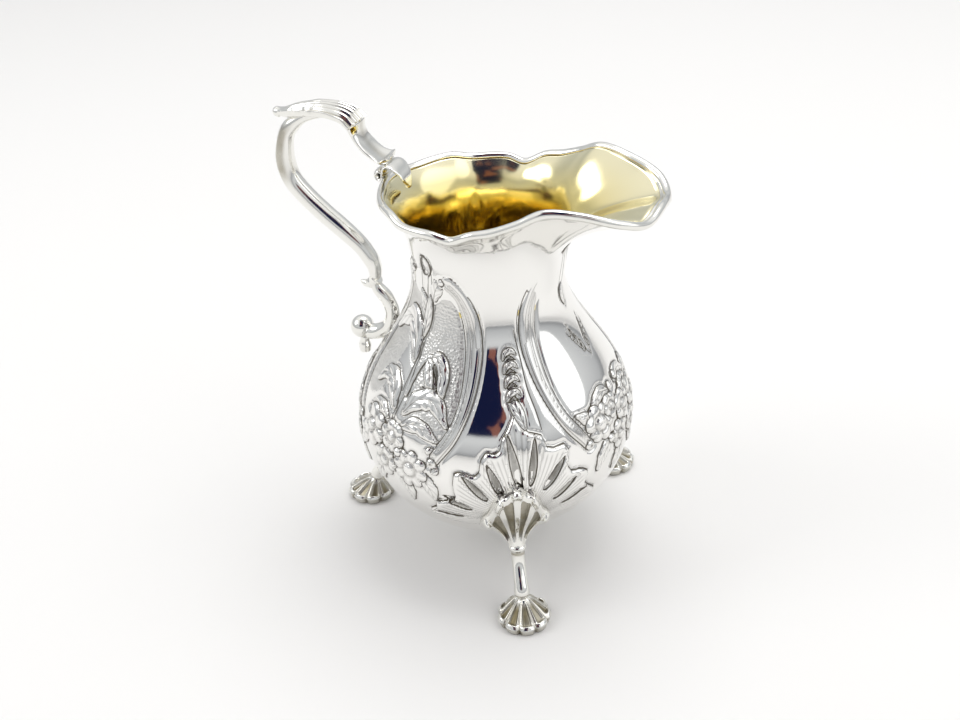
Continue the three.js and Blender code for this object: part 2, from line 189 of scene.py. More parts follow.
def outline(station, degrees):
    """Radius and height of the outside, and its outward direction in radius and height.

    A station runs 0 to 1 up the bowl, 1 to 2 up the shoulder to the neck and 2 to 3 up the flare.
    """
    swing = (1 - np.clip(station, 0, 1)) * math.pi / 2
    bowl = BELLY * np.cos(swing), BELLY_Z - BOWL_DEPTH * np.sin(swing)
    tilt = np.hypot(BOWL_DEPTH * np.cos(swing), BELLY * np.sin(swing))
    bowl_out = BOWL_DEPTH * np.cos(swing) / tilt, -BELLY * np.sin(swing) / tilt
    shoulder, rise = bezier([(BELLY, BELLY_Z), (BELLY, BELLY_Z + SHOULDER_PULL),
                             (NECK, NECK_Z - SHOULDER_PULL), (NECK, NECK_Z)], np.clip(station - 1, 0, 1))
    reach, height = mouth_at(degrees)
    pull = reach - (reach - NECK) * 0.45, height - (height - NECK_Z) * 0.16
    away = np.hypot(reach - pull[0], height - pull[1])
    lean = (reach - pull[0]) / away, (height - pull[1]) / away
    edge = (reach - 0.55 * WIRE * lean[0] + WALL / 2 * lean[1],
            height - 0.55 * WIRE * lean[1] - WALL / 2 * lean[0])
    flare, climb = bezier([(NECK, NECK_Z), (NECK, NECK_Z + FLARE_PULL), pull, edge],
                          np.clip(station - 2, 0, 1))
    on_bowl, on_flare = station < 1, station > 2

    def pick(k, low, middle, high):
        return np.where(on_bowl, low[k], np.where(on_flare, high[k], middle[k]))

    up = pick(0, bowl_out, (rise[1],), (climb[1],)), pick(0, (bowl_out[1],), (-rise[0],), (-climb[0],))
    return pick(0, bowl, shoulder, flare), pick(1, bowl, shoulder, flare), up[0], up[1]


# The outline up to the neck as a table, with its running length, to lay the chasing out unstretched.
STATIONS = np.linspace(0, 2, 801)
RADII, HEIGHTS, _, _ = outline(STATIONS, np.zeros(801))
RUNS = np.concatenate([[0], np.cumsum(np.hypot(np.diff(RADII), np.diff(HEIGHTS)))])
# Above the neck the chased strip is nearly upright, so it is measured straight up.
STRIP = 12
RADII, HEIGHTS = np.append(RADII, NECK + 1), np.append(HEIGHTS, NECK_Z + STRIP)
RUNS, STATIONS = np.append(RUNS, RUNS[-1] + STRIP), np.append(STATIONS, 2)


def run_at(height):
    return np.interp(height, HEIGHTS, RUNS)


def radius_at(height):
    return np.interp(height, HEIGHTS, RADII)


def station_at(height):
    return np.interp(height, HEIGHTS, STATIONS)


def even_stations(low, high, spacing):
    """Stations about evenly spaced along the outline between two heights."""
    start, end = run_at(low), run_at(high)
    count = max(2, round((end - start) / spacing))
    return np.interp(np.linspace(start, end, count + 1)[:-1], RUNS[:-1], STATIONS[:-1])


# ------------------------------------------------------------------ chasing

FORMS, FLOWERS, CUTS = 0, 1, 2  # the three kinds of chased line, each kept as a signed distance
FAR = 3.0


class Chasing:
    """The relief chased on the wall: how far each point stands out, in millimetres, and how it is worked.

    A motif is laid out in (angle, height) pairs about a place, which is an angle from the spout and
    1 or -1 for the way round the vessel in which the motif's own angles run.
    """

    def __init__(self, degrees, height):
        self.degrees, self.height = degrees, height
        self.radius, self.run = radius_at(height), run_at(height)
        self.rise = np.zeros_like(height)
        # Darkness from 0 to 1: painted shade in the chasing's hollows and lines, with tarnish.
        self.tarnish_and_shade = np.zeros_like(height)
        self.matting = np.zeros_like(height)
        self.line = np.zeros_like(height)  # phase of the fine chased lines
        self.lined = np.zeros_like(height)  # and how strongly they show
        self.edges = [np.full_like(height, FAR) for _ in (FORMS, FLOWERS, CUTS)]
        self.cut = np.zeros_like(height)  # how strongly the cuts show

    def angles(self, at):
        return at[1] * (np.mod(self.degrees - at[0] + 180, 360) - 180)

    def near(self, at, low, high, reach):
        """Indices of the points within reach of a box of angles and heights."""
        turn = self.angles(at)
        spread = np.degrees(reach / np.maximum(self.radius, 10))
        return np.nonzero((turn > low[0] - spread) & (turn < high[0] + spread)
                          & (self.height > low[1] - reach) & (self.height < high[1] + reach))[0]

    def trace(self, at, path, reach, count=24):
        """Points near a path: their indices, share of its length, distance, and distance to its left."""
        path = smooth_path(path, count)
        found = self.near(at, path.min(0), path.max(0), reach)
        turn, run, radius = self.angles(at)[found], self.run[found], self.radius[found]
        best = np.full(len(found), 1e9)
        share, side = np.zeros(len(found)), np.zeros(len(found))
        runs = run_at(path[:, 1])
        for i in range(len(path) - 1):
            east = math.radians(path[i + 1, 0] - path[i, 0]) * radius
            north = runs[i + 1] - runs[i]
            x, y = np.radians(turn - path[i, 0]) * radius, run - runs[i]
            t = np.clip((x * east + y * north) / (east**2 + north**2 + 1e-9), 0, 1)
            dx, dy = x - t * east, y - t * north
            distance = np.hypot(dx, dy)
            closer = distance < best
            best = np.where(closer, distance, best)
            share = np.where(closer, (i + t) / (len(path) - 1), share)
            side = np.where(closer, np.sign(east * dy - north * dx) * distance, side)
        return found, share, best, side

    def around(self, at, centre, reach):
        """Points near a centre: their indices, distance and direction."""
        found = self.near(at, centre, centre, reach)
        x = np.radians(self.angles(at)[found] - centre[0]) * self.radius[found]
        y = self.run[found] - run_at(centre[1])
        return found, np.hypot(x, y), np.arctan2(y, x)

    def lay(self, found, gap, rise, kind=FORMS, dark=0.18, cut=0.2):
        """Lays a form over what is there; gap is the distance out from its edge, which is lined."""
        inside = smoothstep(-gap, -0.2, 0.25)
        outline = np.exp(-(((gap - 0.15) / 0.42) ** 2))
        self.rise[found] = self.rise[found] * (1 - inside) + rise * inside - cut * outline
        for field in (self.matting, self.lined, self.cut):
            field[found] *= 1 - inside
        # The outline's groove is painted dark: painted shade in the crease round the form, with tarnish.
        self.tarnish_and_shade[found] = np.maximum(self.tarnish_and_shade[found] * (1 - inside), dark * outline)
        for k, edge in enumerate(self.edges):
            if k != kind:
                edge[found] = np.where(gap < -0.2, FAR, edge[found])
            else:
                keep = (gap > 0) & (np.abs(edge[found]) < gap)
                edge[found] = np.where(keep, edge[found], np.clip(gap, -FAR, FAR))
        return inside

    def groove(self, at, path, width=0.4, depth=0.14, dark=0.3):
        """A line run in with a blunt chisel."""
        found, share, distance, side = self.trace(at, path, max(3 * width, 1.6))
        ends = smoothstep(np.minimum(share, 1 - share), -0.02, 0.1)
        cut = np.exp(-((distance / width) ** 2)) * ends
        self.rise[found] -= depth * cut
        # Painted shade in the chisel's groove, with tarnish.
        self.tarnish_and_shade[found] = np.maximum(self.tarnish_and_shade[found], dark * cut)
        beyond = (share <= 0) | (share >= 1)
        close = (distance < 1.3) & (distance < np.abs(self.edges[CUTS][found]))
        self.edges[CUTS][found] = np.where(close, side, self.edges[CUTS][found])
        self.cut[found] = np.where(close & ~beyond, 1, np.where(close, 0, self.cut[found]))

    def cord(self, at, path, width=0.6, rise=0.4):
        """A rounded raised stem."""
        found, _, distance, _ = self.trace(at, path, width + 1.6)
        round_top = np.sqrt(np.clip(1 - (distance / (width + 0.25)) ** 2, 0, 1))
        self.lay(found, distance - width, rise * round_top + 0.05)

    def leaf(self, at, path, width, rise=0.45, lobes=0, fullest=0.45, lines=5, kind=FORMS):
        """A pointed leaf along its midrib, with side veins and, where it has lobes, a scalloped edge."""
        found, share, distance, side = self.trace(at, path, width / 2 + 1.6)
        power = math.log(0.5) / math.log(fullest)
        half = width / 2 * np.sin(math.pi * np.clip(share, 0, 1) ** power) ** 0.75
        if lobes:
            half = half * (0.84 + 0.16 * np.abs(np.cos(math.pi * lobes * share)))
        across = np.clip(distance / np.maximum(half, 0.05), 0, 3)
        form = np.sqrt(np.clip(1 - 0.8 * across**2, 0, 1)) * (0.6 + 0.4 * share)
        form = form - 0.3 * np.exp(-((distance / 0.45) ** 2)) * smoothstep(1 - share, 0, 0.3)
        inside = self.lay(found, distance - half, rise * form + 0.12, kind)
        self.line[found] = np.where(inside > 0.5, lines * (share - 0.3 * across), self.line[found])
        self.lined[found] = np.maximum(self.lined[found], 0.7 * inside * smoothstep(0.95 - across, 0, 0.25))
        midrib = (inside > 0.5) & (share > 0.03) & (share < 0.9)
        self.edges[CUTS][found] = np.where(midrib, side, self.edges[CUTS][found])
        self.cut[found] = np.where(midrib, 1 - share, self.cut[found])

    def flower(self, at, centre, radius, petals=5, rise=1.0, turned=0.0, boss=0.3):
        """An open flower with cupped petals round a pricked boss."""
        found, distance, direction = self.around(at, centre, radius + 1.6)
        wave = np.abs(np.cos(petals * (direction + turned) / 2))
        edge = radius * (0.7 + 0.3 * wave**0.5)
        out = np.clip(distance / edge, 0, 1)
        cupped = 0.2 * np.sin(math.pi * out) ** 2 * wave
        petal = np.sqrt(np.clip(1 - out**4, 0, 1)) * (0.35 + 0.5 * wave**0.6) - cupped
        core = np.clip(1 - (distance / (boss * radius)) ** 2, 0, 1)
        form = np.maximum(petal - 0.45 * np.exp(-(((distance - 1.2 * boss * radius) / 0.35) ** 2)),
                          (0.5 + 0.4 * np.sqrt(core)) * (core > 0))
        inside = self.lay(found, distance - edge, rise * form, FLOWERS, 0.3)
        # Painted shade in the creases between the petals and round the boss, with tarnish.
        seam = inside * np.exp(-((wave / 0.25) ** 2)) * smoothstep(out, boss, boss + 0.2)
        ring = inside * np.exp(-(((distance - 1.15 * boss * radius) / 0.4) ** 2))
        self.tarnish_and_shade[found] = np.maximum(self.tarnish_and_shade[found], 0.55 * np.maximum(seam, ring))
        self.matting[found] = np.maximum(self.matting[found], 0.7 * (core > 0) * inside)
        self.line[found] = np.where(inside > 0.5, 1.1 * petals * direction / math.pi, self.line[found])
        veined = 0.5 * inside * smoothstep(out, boss + 0.1, 0.7) * smoothstep(1 - out, 0, 0.2)
        self.lined[found] = np.maximum(self.lined[found], veined)

    def berry(self, at, centre, radius, rise=0.7):
        """A round bead."""
        found, distance, _ = self.around(at, centre, radius + 1.4)
        dome = np.sqrt(np.clip(1 - (distance / (radius + 0.15)) ** 2, 0, 1))
        self.lay(found, distance - radius, rise * dome, FLOWERS)

    def prick(self, at, centre, radius=0.5, depth=0.5):
        """A hole punched into a motif, as in the eye of a scroll."""
        found, distance, _ = self.around(at, centre, 3 * radius)
        hole = np.exp(-((distance / radius) ** 2))
        self.rise[found] -= depth * hole
        # The hole is painted dark: painted shade, with tarnish.
        self.tarnish_and_shade[found] = np.maximum(self.tarnish_and_shade[found], hole)

    def slot(self, at, path, width, depth=0.8, dark=0.7):
        """A dark tapering flute sunk into a shell."""
        found, share, distance, _ = self.trace(at, path, width / 2 + 1.2)
        half = 0.38 * width * np.sin(math.pi * np.clip(share, 0, 1) ** 0.75) ** 0.8 + 0.05
        sunk = smoothstep(half - distance, -0.25, 0.45)
        self.rise[found] -= depth * sunk
        # The flute's darkness is painted shade in the sunk slot, with tarnish.
        self.tarnish_and_shade[found] = np.maximum(self.tarnish_and_shade[found], dark * sunk)
        self.lined[found] *= 1 - sunk
        close = (distance - half < 0.9) & (np.abs(distance - half) < np.abs(self.edges[FORMS][found]))
        self.edges[FORMS][found] = np.where(close, distance - half, self.edges[FORMS][found])

    def band(self, at, outer, inner, rise=0.3):
        """A C-scroll band between an outer and an inner line, plain outside and fluted inside."""
        outer, inner = smooth_path(outer, 40), smooth_path(inner, 40)
        middle = (outer + inner) / 2
        width = np.hypot(np.radians(outer[:, 0] - inner[:, 0]) * radius_at(middle[:, 1]),
                         run_at(outer[:, 1]) - run_at(inner[:, 1])) / 2
        found, share, distance, side = self.trace(at, middle, width.max() + 1.6, 40)
        half = np.interp(share, np.linspace(0, 1, 40), width)
        across = side / np.maximum(half, 0.1)
        capped = np.where((share <= 0) | (share >= 1), distance, np.abs(side))
        plain = 1 - 0.5 * np.clip((across - 0.35) / 0.65, -1, 1) ** 2
        flute = np.abs(np.sin(math.pi * (across + 1) / 0.65)) * (across < 0.3)
        low = smoothstep(share, 0.45, 0.6)
        lower_flute = 0.8 * np.abs(np.sin(math.pi * (across - 0.3) / 0.7)) * (across >= 0.3) * low
        form = plain - 0.35 * flute - 0.4 * lower_flute
        inside = self.lay(found, capped - half, rise * form + 0.1, FORMS, 0.25, 0.45)
        for ridge, start in ((-0.35, 0.05), (0.3, 0.1), (0.62, 0.5)):
            offset = (across - ridge) * half
            line = (inside > 0.3) & (np.abs(offset) < 0.8) & (share > start)
            self.edges[CUTS][found] = np.where(line, offset, self.edges[CUTS][found])
            self.cut[found] = np.where(line, 0.55, self.cut[found])
        # Painted shade in the band's flutes, with tarnish.
        sunk = inside * 0.3 * (flute + lower_flute) ** 2
        self.tarnish_and_shade[found] = np.maximum(self.tarnish_and_shade[found], sunk)

    def fan(self, at, centre, outline, rise=0.85):
        """A rocaille shell round a centre; outline is (degrees from upright, reach), left to right."""
        found, distance, direction = self.around(at, centre, 34)
        lean = 90 - np.degrees(direction)
        lean = np.mod(lean + 180, 360) - 180
        spots, reaches = np.array(outline).T
        edge = np.interp(lean, spots, reaches, left=0, right=0)
        out = distance / np.maximum(edge, 1)
        gap = np.where(edge > 0, (distance - edge) * 0.8, FAR)
        gap = np.maximum(gap, -FAR)
        rolled = np.exp(-((gap + 0.75) / 0.55) ** 2)
        form = (0.8 * smoothstep(out, 0.3, 0.95) + 0.3 * rolled) * smoothstep(distance, 7.5, 11)
        inside = self.lay(found, gap, rise * form, FORMS, 0.3, 0.3)
        self.line[found] = np.where(inside > 0.5, lean / 3.4, self.line[found])
        self.lined[found] = np.maximum(self.lined[found], inside * smoothstep(-gap, 1.0, 1.8))
        shade = 0.45 * inside * (1 - smoothstep(out, 0.2, 0.55))
        self.tarnish_and_shade[found] = np.maximum(self.tarnish_and_shade[found], shade)

    def matted(self, at, path, width):
        """Ground stippled with a punch, with soft edges."""
        found, _, distance, _ = self.trace(at, path, width / 2 + 2)
        soft = smoothstep(width / 2 - distance, -0.3, 1)
        self.matting[found] = np.maximum(self.matting[found], soft)
        self.rise[found] -= 0.1 * soft
        # The stippled ground is painted darker: painted shade in the punch marks, with tarnish.
        self.tarnish_and_shade[found] = np.maximum(self.tarnish_and_shade[found], 0.22 * soft)


# Edge of the shell over a leg: degrees from upright, and reach from a point behind the collar.
SHELL_EDGE = [(-100, 12), (-92, 17), (-84, 22.5), (-79, 21), (-74, 21.5), (-66, 18), (-60, 18), (-52, 20.5),
              (-45, 22), (-41, 21.5), (-35, 18.6), (-30, 19), (-24, 21.5), (-19, 22.6), (-15, 21.6),
              (-11, 22), (-8, 24.5), (-4, 26.5), (-1, 29), (1, 31.5), (3, 28.5), (6, 25.4), (10, 25),
              (14, 24.6), (18, 22), (23, 22), (29, 23.4), (34, 22.4), (39, 18.8), (45, 18.2), (53, 20.2),
              (59, 20.8), (64, 18.4), (71, 18.8), (80, 20.4), (88, 17), (96, 12)]


def chase_fan(work, at):
    """The rocaille shell above a leg, with the comb of crescents and the leaf tip over it."""
    work.fan(at, (2, 25), SHELL_EDGE)
    slots = [((-2, 49.5), (2, 35), 2.7), ((9.5, 48), (6, 36), 2.3), ((-11, 43), (-5.5, 34), 2.4),
             ((-21, 40), (-11.5, 32.5), 2.3), ((-30, 33), (-18, 29.5), 2.2), ((-35, 27.5), (-22, 26.5), 1.6),
             ((21, 42), (11.5, 34), 2.4), ((25.5, 35.5), (16, 30), 2), ((31, 31), (20, 27.5), 1.7)]
    for tip, root, width in slots:
        middle = (tip[0] + root[0]) / 2, (tip[1] + root[1]) / 2 + 0.3
        work.slot(at, [root, middle, tip], width)
    work.leaf(at, [(6.5, 49.5), (4.5, 53), (2, 56.5), (4.5, 58)], 2.8, 0.6, kind=FLOWERS)
    work.prick(at, (5.6, 55.8), 0.5, 0.3)
    for k, z in enumerate((64.5, 61.8, 59.1, 56.4)):
        crescent = [(-0.8, z - 0.8), (2.2, z + 0.9), (5.5, z + 1.1), (8.6 - 0.5 * k, z)]
        work.leaf(at, crescent, 1.7, 0.35, kind=FLOWERS)
        work.slot(at, [(0.6, z - 0.9), (3, z - 0.1), (7.4 - 0.5 * k, z - 0.8)], 0.9, 0.25)
    work.groove(at, [(9, 70), (10.4, 64), (10.8, 58), (12.6, 53), (13.4, 49)])


OUTER = [(16.5, 82.2), (22, 83), (30, 81), (36, 78), (40.5, 75), (43.5, 71), (44.7, 67), (44, 61),
         (42, 56), (39, 51), (35.5, 47), (31, 43.5), (28, 41)]
INNER = [(17, 80.2), (21, 79), (26, 78), (31, 76.3), (35.3, 73), (38.3, 69), (39.3, 64),
         (37.8, 58), (35.8, 53.8), (32.6, 50), (28.6, 46.6), (26, 44.2), (23.5, 42)]


def chase_frame(work, centre):
    """The pair of C-scroll bands round a panel, with the ring where they meet at the neck."""
    for way in (1, -1):
        at = (centre, way)
        work.band(at, OUTER, INNER)
        work.berry(at, (17, 81), 0.9, 0.6)
        work.berry(at, (26, 41.5), 1.3, 0.8)
        work.prick(at, (26, 41.5), 0.4, 0.4)
    at = (centre, 1)
    ring = [(2 + 5.2 * math.cos(t), 84 + 2.6 * math.sin(t)) for t in np.linspace(0, math.tau, 13)]
    work.cord(at, ring, 0.3, 0.4)


def chase_flower_panel(work, at):
    """A matted panel with a nodding bud, leaves and a spray of flowers; angles are from its middle."""
    work.matted(at, [(7, 77), (15, 70), (22, 63), (25, 55)], 15)
    work.matted(at, [(-8, 76), (-18, 70), (-24, 62), (-24, 54)], 13)
    for shift in (-1.3, 1.3):
        stem = [(2 + shift * 0.3, 47), (3.6 + shift, 54), (4 + shift * 0.8, 60), (3 + shift, 68)]
        work.groove(at, stem, 0.4, 0.15, 0.15)
    work.leaf(at, [(3, 60.5), (-4, 66.2), (-14, 69), (-25, 66.5), (-31, 63)], 6.4, 0.5, 4)
    work.leaf(at, [(3, 68), (0, 73), (-6, 77.5)], 3, 0.35)
    work.leaf(at, [(8, 75), (12, 79), (19, 82)], 4, 0.45, 3)
    work.leaf(at, [(3.4, 66), (4, 71), (4.5, 77)], 2.6, 0.35)
    work.prick(at, (5, 78.5), 0.45, 0.3)
    work.cord(at, [(6, 54), (8, 59.5), (12, 62.8), (17, 63.4)], 0.45, 0.5)
    work.leaf(at, [(12.5, 62.6), (16, 61), (19.5, 57.5), (21, 54)], 4.4, 1.0, 0, kind=FLOWERS)
    work.leaf(at, [(15, 63.2), (20, 63), (24.5, 60), (27, 54.6)], 4.2, 1.1, 0, kind=FLOWERS)
    work.slot(at, [(18.6, 62), (21.4, 59.4), (22.6, 56)], 1.7, 0.5, 0.9)
    work.leaf(at, [(13, 57), (17.5, 54.6), (25, 54.4)], 2.6, 0.8, 2, kind=FLOWERS)
    work.leaf(at, [(2, 50), (-5, 55), (-14, 55.5), (-20, 52)], 5.4, 0.5, 4)
    work.leaf(at, [(0, 47.5), (-8, 49), (-17, 47.4)], 4, 0.5, 3)
    work.leaf(at, [(7, 49.8), (14, 54), (24, 54.4), (32, 49.6)], 5.6, 0.6, 4)
    work.leaf(at, [(7, 47), (17, 49), (29, 46.4)], 4.2, 0.5, 3)
    work.leaf(at, [(-12, 42), (-18, 38), (-22, 34)], 4.6, 0.5, 3)
    work.leaf(at, [(20, 38), (25, 34.5), (27, 30.5)], 4.4, 0.5, 3)
    work.leaf(at, [(10, 36), (14, 32), (15, 28)], 4, 0.45, 3)
    work.leaf(at, [(-2, 36), (-4, 32), (-8, 28.5)], 4.2, 0.45, 3)
    work.flower(at, (1, 37), 4.4, 5, 1.0, 0.1)
    work.flower(at, (-10, 43.5), 5.6, 6, 1.25, 0.4, 0.26)
    work.flower(at, (4.5, 44.2), 4.2, 6, 0.8, 0.2)
    work.flower(at, (15.5, 38), 5.2, 8, 1.0, 0.2, 0.32)
    for spot in ((25, 44.2), (27.4, 39.8), (-19, 40.5), (9, 41.2)):
        work.berry(at, spot, 1.2, 0.8)


def chase_spout_panel(work):
    """The plain panel under the spout: a spray of flowers below and an engraved leaf sprig above."""
    at = (0, 1)
    for way in (1, -1):
        side = (0, way)
        work.leaf(side, [(4, 78), (9, 78.6), (14, 80)], 2.4, 0.35)
        work.leaf(side, [(3, 49.5), (12, 50.5), (22, 47.5)], 3.6, 0.5, 3)
        work.leaf(side, [(16, 44), (24, 47.5), (30, 49.5)], 3.8, 0.5, 3)
        work.leaf(side, [(12, 40), (19, 37), (23, 33)], 4.2, 0.5, 3)
        work.leaf(side, [(4, 37), (8, 33), (12, 30)], 3.8, 0.5, 3)
        for k in range(5):
            a, z = 1.6 + 1.5 * k, 59.3 + 1.15 * k
            work.groove(side, [(a, z), (a + 2.8, z - 0.2), (a + 3.8, z + 1)], 0.3, 0.06, 0.2)
            work.groove(side, [(a, z), (a + 0.2, z + 1.6), (a + 1.6, z + 2.8)], 0.3, 0.06, 0.2)
        work.groove(side, [(0, 57.5), (4, 60.5), (8.5, 65.5)], 0.3, 0.08, 0.2)
    work.leaf(at, [(0, 70), (0, 73), (0, 76)], 2.4, 0.35)
    work.flower(at, (-17.5, 45), 5.0, 6, 1.2, 0.2, 0.34)
    work.flower(at, (-7.5, 46.6), 3.4, 5, 0.95, 0.5)
    work.flower(at, (1.5, 44.2), 4.0, 5, 1.05, 0.1)
    work.flower(at, (10.5, 46.8), 3.4, 6, 1.0, 0.4)
    work.flower(at, (18, 42.6), 4.8, 5, 1.1, 0.3)
    work.flower(at, (-6, 38.6), 3.8, 5, 0.95, 0.8)
    work.flower(at, (8, 37.6), 3.4, 5, 0.9, 0.4)
    for spot in ((-13, 39.6), (14.5, 38.4), (-2.6, 50.2), (5.8, 50.6)):
        work.berry(at, spot, 1.15, 0.75)


def chased(degrees, height):
    """All the work on the vessel, at points given by angle and height."""
    work = Chasing(degrees, height)
    chase_flower_panel(work, (-120, 1))
    chase_flower_panel(work, (120, -1))
    chase_spout_panel(work)
    for legs_at, way in ((-60, 1), (60, -1), (180, 1)):
        chase_fan(work, (legs_at, way))
    for centre in PANELS:
        chase_frame(work, centre)
    fade = smoothstep(height, 20, 27) * smoothstep(89 - height, 0, 2)
    for field in (work.rise, work.tarnish_and_shade, work.matting, work.lined, work.cut):
        field *= fade
    work.forms, work.flowers, work.cuts = work.edges
    return work


# ------------------------------------------------------------------ the vessel

def place(piece, points):
    """Puts points into a mesh and turns its faces outwards."""
    move_points(piece, points)
    bm = bmesh.new()
    bm.from_mesh(piece.data)
    bmesh.ops.recalc_face_normals(bm, faces=bm.faces)
    bm.to_mesh(piece.data)
    bm.free()
    piece.data.shade_smooth()
    return piece


def wall_piece(name, stations, depths, columns, worked, shown):
    """A shell whose rows follow the wall. The relief, as shown there, moves the rows that are worked."""
    piece = finish_mesh(spun_blank(len(stations), columns), name)
    blank = points_of(piece)
    row = np.rint(blank[:, 2]).astype(int)
    column = np.rint(np.degrees(np.arctan2(blank[:, 1], blank[:, 0])) / 360 * columns).astype(int) % columns
    degrees = np.tile(np.arange(columns) * 360 / columns, (len(stations), 1))
    station = np.tile(np.array(stations)[:, None], (1, columns))
    radius, height, out_r, out_z = outline(station, degrees)
    work = chased(degrees.ravel(), height.ravel())
    rise = work.rise.reshape(height.shape) * np.array(worked)[:, None]
    offset = shown(rise) - np.array(depths)[:, None]
    radius, height = radius + out_r * offset, height + out_z * offset
    radius[[0, -1]] = 0
    turn = np.radians(degrees)
    grid = np.stack([AXIS_X + radius * np.cos(turn), radius * np.sin(turn), height], axis=-1)
    # The darkness copied here is the chasing's painted shade in its hollows, with tarnish; the gilt inside
    # takes the same marks over its dents.
    for field in ("tarnish_and_shade", "matting", "line", "lined", "cut", "forms", "flowers", "cuts"):
        values = getattr(work, field).reshape(height.shape)
        if field in ("tarnish_and_shade", "matting", "lined", "cut"):
            values = values * np.array(worked)[:, None]
        store(piece, field, values[row, column])
    store(piece, "lip", smoothstep(station, 2.25, 2.95)[row, column])
    return place(piece, grid[row, column])


def make_body():
    """The raised vessel: rows as close as the chasing needs outside, and a few down the hidden inside."""
    outside = np.concatenate([np.linspace(0, station_at(20), 14)[:-1], even_stations(20, NECK_Z, 0.43),
                              2 + np.linspace(0, 1, 36) ** 1.25])
    inside = np.concatenate([[3, 2.85, 2.65, 2.45, 2.25], even_stations(12, NECK_Z, 4.2)[::-1], [0.3, 0]])
    depths = np.concatenate([0 * outside, 0.45 + 0.45 * smoothstep(inside, 2.5, 3)])
    worked = np.concatenate([outside * 0 + 1, inside * 0])
    stations = np.concatenate([outside, inside])
    return wall_piece("chased_body", stations, depths, 432, worked, lambda rise: rise)


def soften(rise):
    """The relief as it shows from inside: shallower and rounder."""
    soft = np.tanh(rise * 0.9) * 0.95
    for _ in range(2):
        soft = (np.roll(soft, 1, 1) + np.roll(soft, -1, 1) + 2 * soft) / 4
        soft[1:-1] = (soft[:-2] + soft[2:] + 2 * soft[1:-1]) / 4
    return soft


def make_gilding():
    """The gilt inside. Its back is hidden, and its face follows the dents of the chasing."""
    back = np.linspace(0, 2.97, 22)
    face = np.concatenate([2.97 - np.linspace(0, 0.97, 30), even_stations(14, NECK_Z, 0.75)[::-1],
                           np.linspace(station_at(14), 0, 12)[1:]])
    depths = np.concatenate([0.6 + 0.32 * smoothstep(back, 2.5, 2.9),
                             1.25 - 0.25 * smoothstep(face, 2.5, 2.95)])
    worked = np.concatenate([back * 0, face * 0 + 1])
    return wall_piece("gilded_inside", np.concatenate([back, face]), depths, 336, worked, soften)


def make_rim():
    """The wire soldered round the mouth, slightly thicker over the horns."""
    piece = finish_mesh(ring_blank(20, 420), "mouth_wire")
    blank = points_of(piece)
    turn = np.arctan2(blank[:, 1], blank[:, 0])
    round_wire = np.arctan2(blank[:, 2], np.hypot(blank[:, 0], blank[:, 1]) - 10)

    def at(angle):
        reach, height = mouth_at(np.degrees(angle))
        return np.stack([reach * np.cos(angle), reach * np.sin(angle), height], axis=-1)

    ahead = at(turn + 0.01) - at(turn - 0.01)
    ahead /= np.linalg.norm(ahead, axis=1)[:, None]
    out = np.stack([np.cos(turn), np.sin(turn), 0 * turn], axis=-1)
    out -= (out * ahead).sum(1)[:, None] * ahead
    out /= np.linalg.norm(out, axis=1)[:, None]
    size = WIRE * (1 + 0.04 * np.sin(7 * turn) + 0.03 * np.sin(17 * turn + 1))
    points = at(turn) + (out * np.cos(round_wire)[:, None]
                         + np.cross(out, ahead) * np.sin(round_wire)[:, None]) * size[:, None]
    # Painted shade on the underside of the wire.
    store(piece, "tarnish_and_shade", 0.5 * smoothstep(-np.sin(round_wire), 0.6, 1))
    return place(piece, points + (AXIS_X, 0, 0))


# ------------------------------------------------------------------ cast bars

def turned_about_axis(reach, side, height, turn):
    """Points out from the vessel's axis, to the side and up, turned round it by degrees."""
    a = math.radians(turn)
    return np.stack([AXIS_X + reach * math.cos(a) - side * math.sin(a),
                     reach * math.sin(a) + side * math.cos(a), height], axis=1)


def bar(name, points, section, rows=120, sides=40, turn=0.0):
    """A cast piece along a curve in the upright plane through the axis, turned to its place.

    points are (reach from the axis, height). section(share, angle, length) gives, at shares of the
    length and angles round the bar, the way out along the curve's left, the way to the side, and
    how dark the surface is painted there: painted shade in hollows and on shaded sides, with tarnish.
    """
    piece = finish_mesh(spun_blank(rows + 2, sides), name)
    blank = points_of(piece)
    row = np.rint(blank[:, 2]).astype(int)
    angle = np.arctan2(blank[:, 1], blank[:, 0])
    even = np.linspace(0, 1, rows)
    warped = 0.55 * even + 0.45 * (0.5 - 0.5 * np.cos(math.pi * even))
    line = smooth_path(points, 400)
    length = np.linalg.norm(np.diff(line, axis=0), axis=1).sum()
    along = np.gradient(line, axis=0)
    along /= np.linalg.norm(along, axis=1)[:, None]
    share = warped[np.clip(row - 1, 0, rows - 1)]
    at = share * 399
    middle = np.stack([np.interp(at, np.arange(400), line[:, k]) for k in (0, 1)], axis=1)
    ahead = np.stack([np.interp(at, np.arange(400), along[:, k]) for k in (0, 1)], axis=1)
    up, side, tarnish_and_shade = section(share, angle, length)
    pole = (row == 0) | (row == rows + 1)
    up, side = np.where(pole, 0, up), np.where(pole, 0, side)
    reach, height = middle[:, 0] - ahead[:, 1] * up, middle[:, 1] + ahead[:, 0] * up
    store(piece, "tarnish_and_shade", np.where(pole, 0, tarnish_and_shade))
    return place(piece, turned_about_axis(reach, side, height, turn))


def rounding(share, length, radius):
    """Shrinks a bar to a domed end at both ends."""
    near = np.clip(np.minimum(share, 1 - share) * length / radius, 0, 1)
    return np.sqrt(1 - (1 - near) ** 2)


def along_bar(share, table):
    """A smooth curve through (share, value) pairs."""
    x, y = np.array(table).T
    i = np.clip(np.searchsorted(x, share, side="right") - 1, 0, len(x) - 2)
    t = np.clip((share - x[i]) / (x[i + 1] - x[i]), 0, 1)
    return y[i] + (y[i + 1] - y[i]) * t * t * (3 - 2 * t)


def round_bar(widths, end=1.2, tarnish_and_shade=lambda share, angle: 0 * share):
    """The section of a round bar: its radius along it, and how far its domed ends reach in."""
    def section(share, angle, length):
        size = along_bar(share, widths) * rounding(share, length, end)
        return size * np.cos(angle), size * np.sin(angle), tarnish_and_shade(share, angle)
    return section


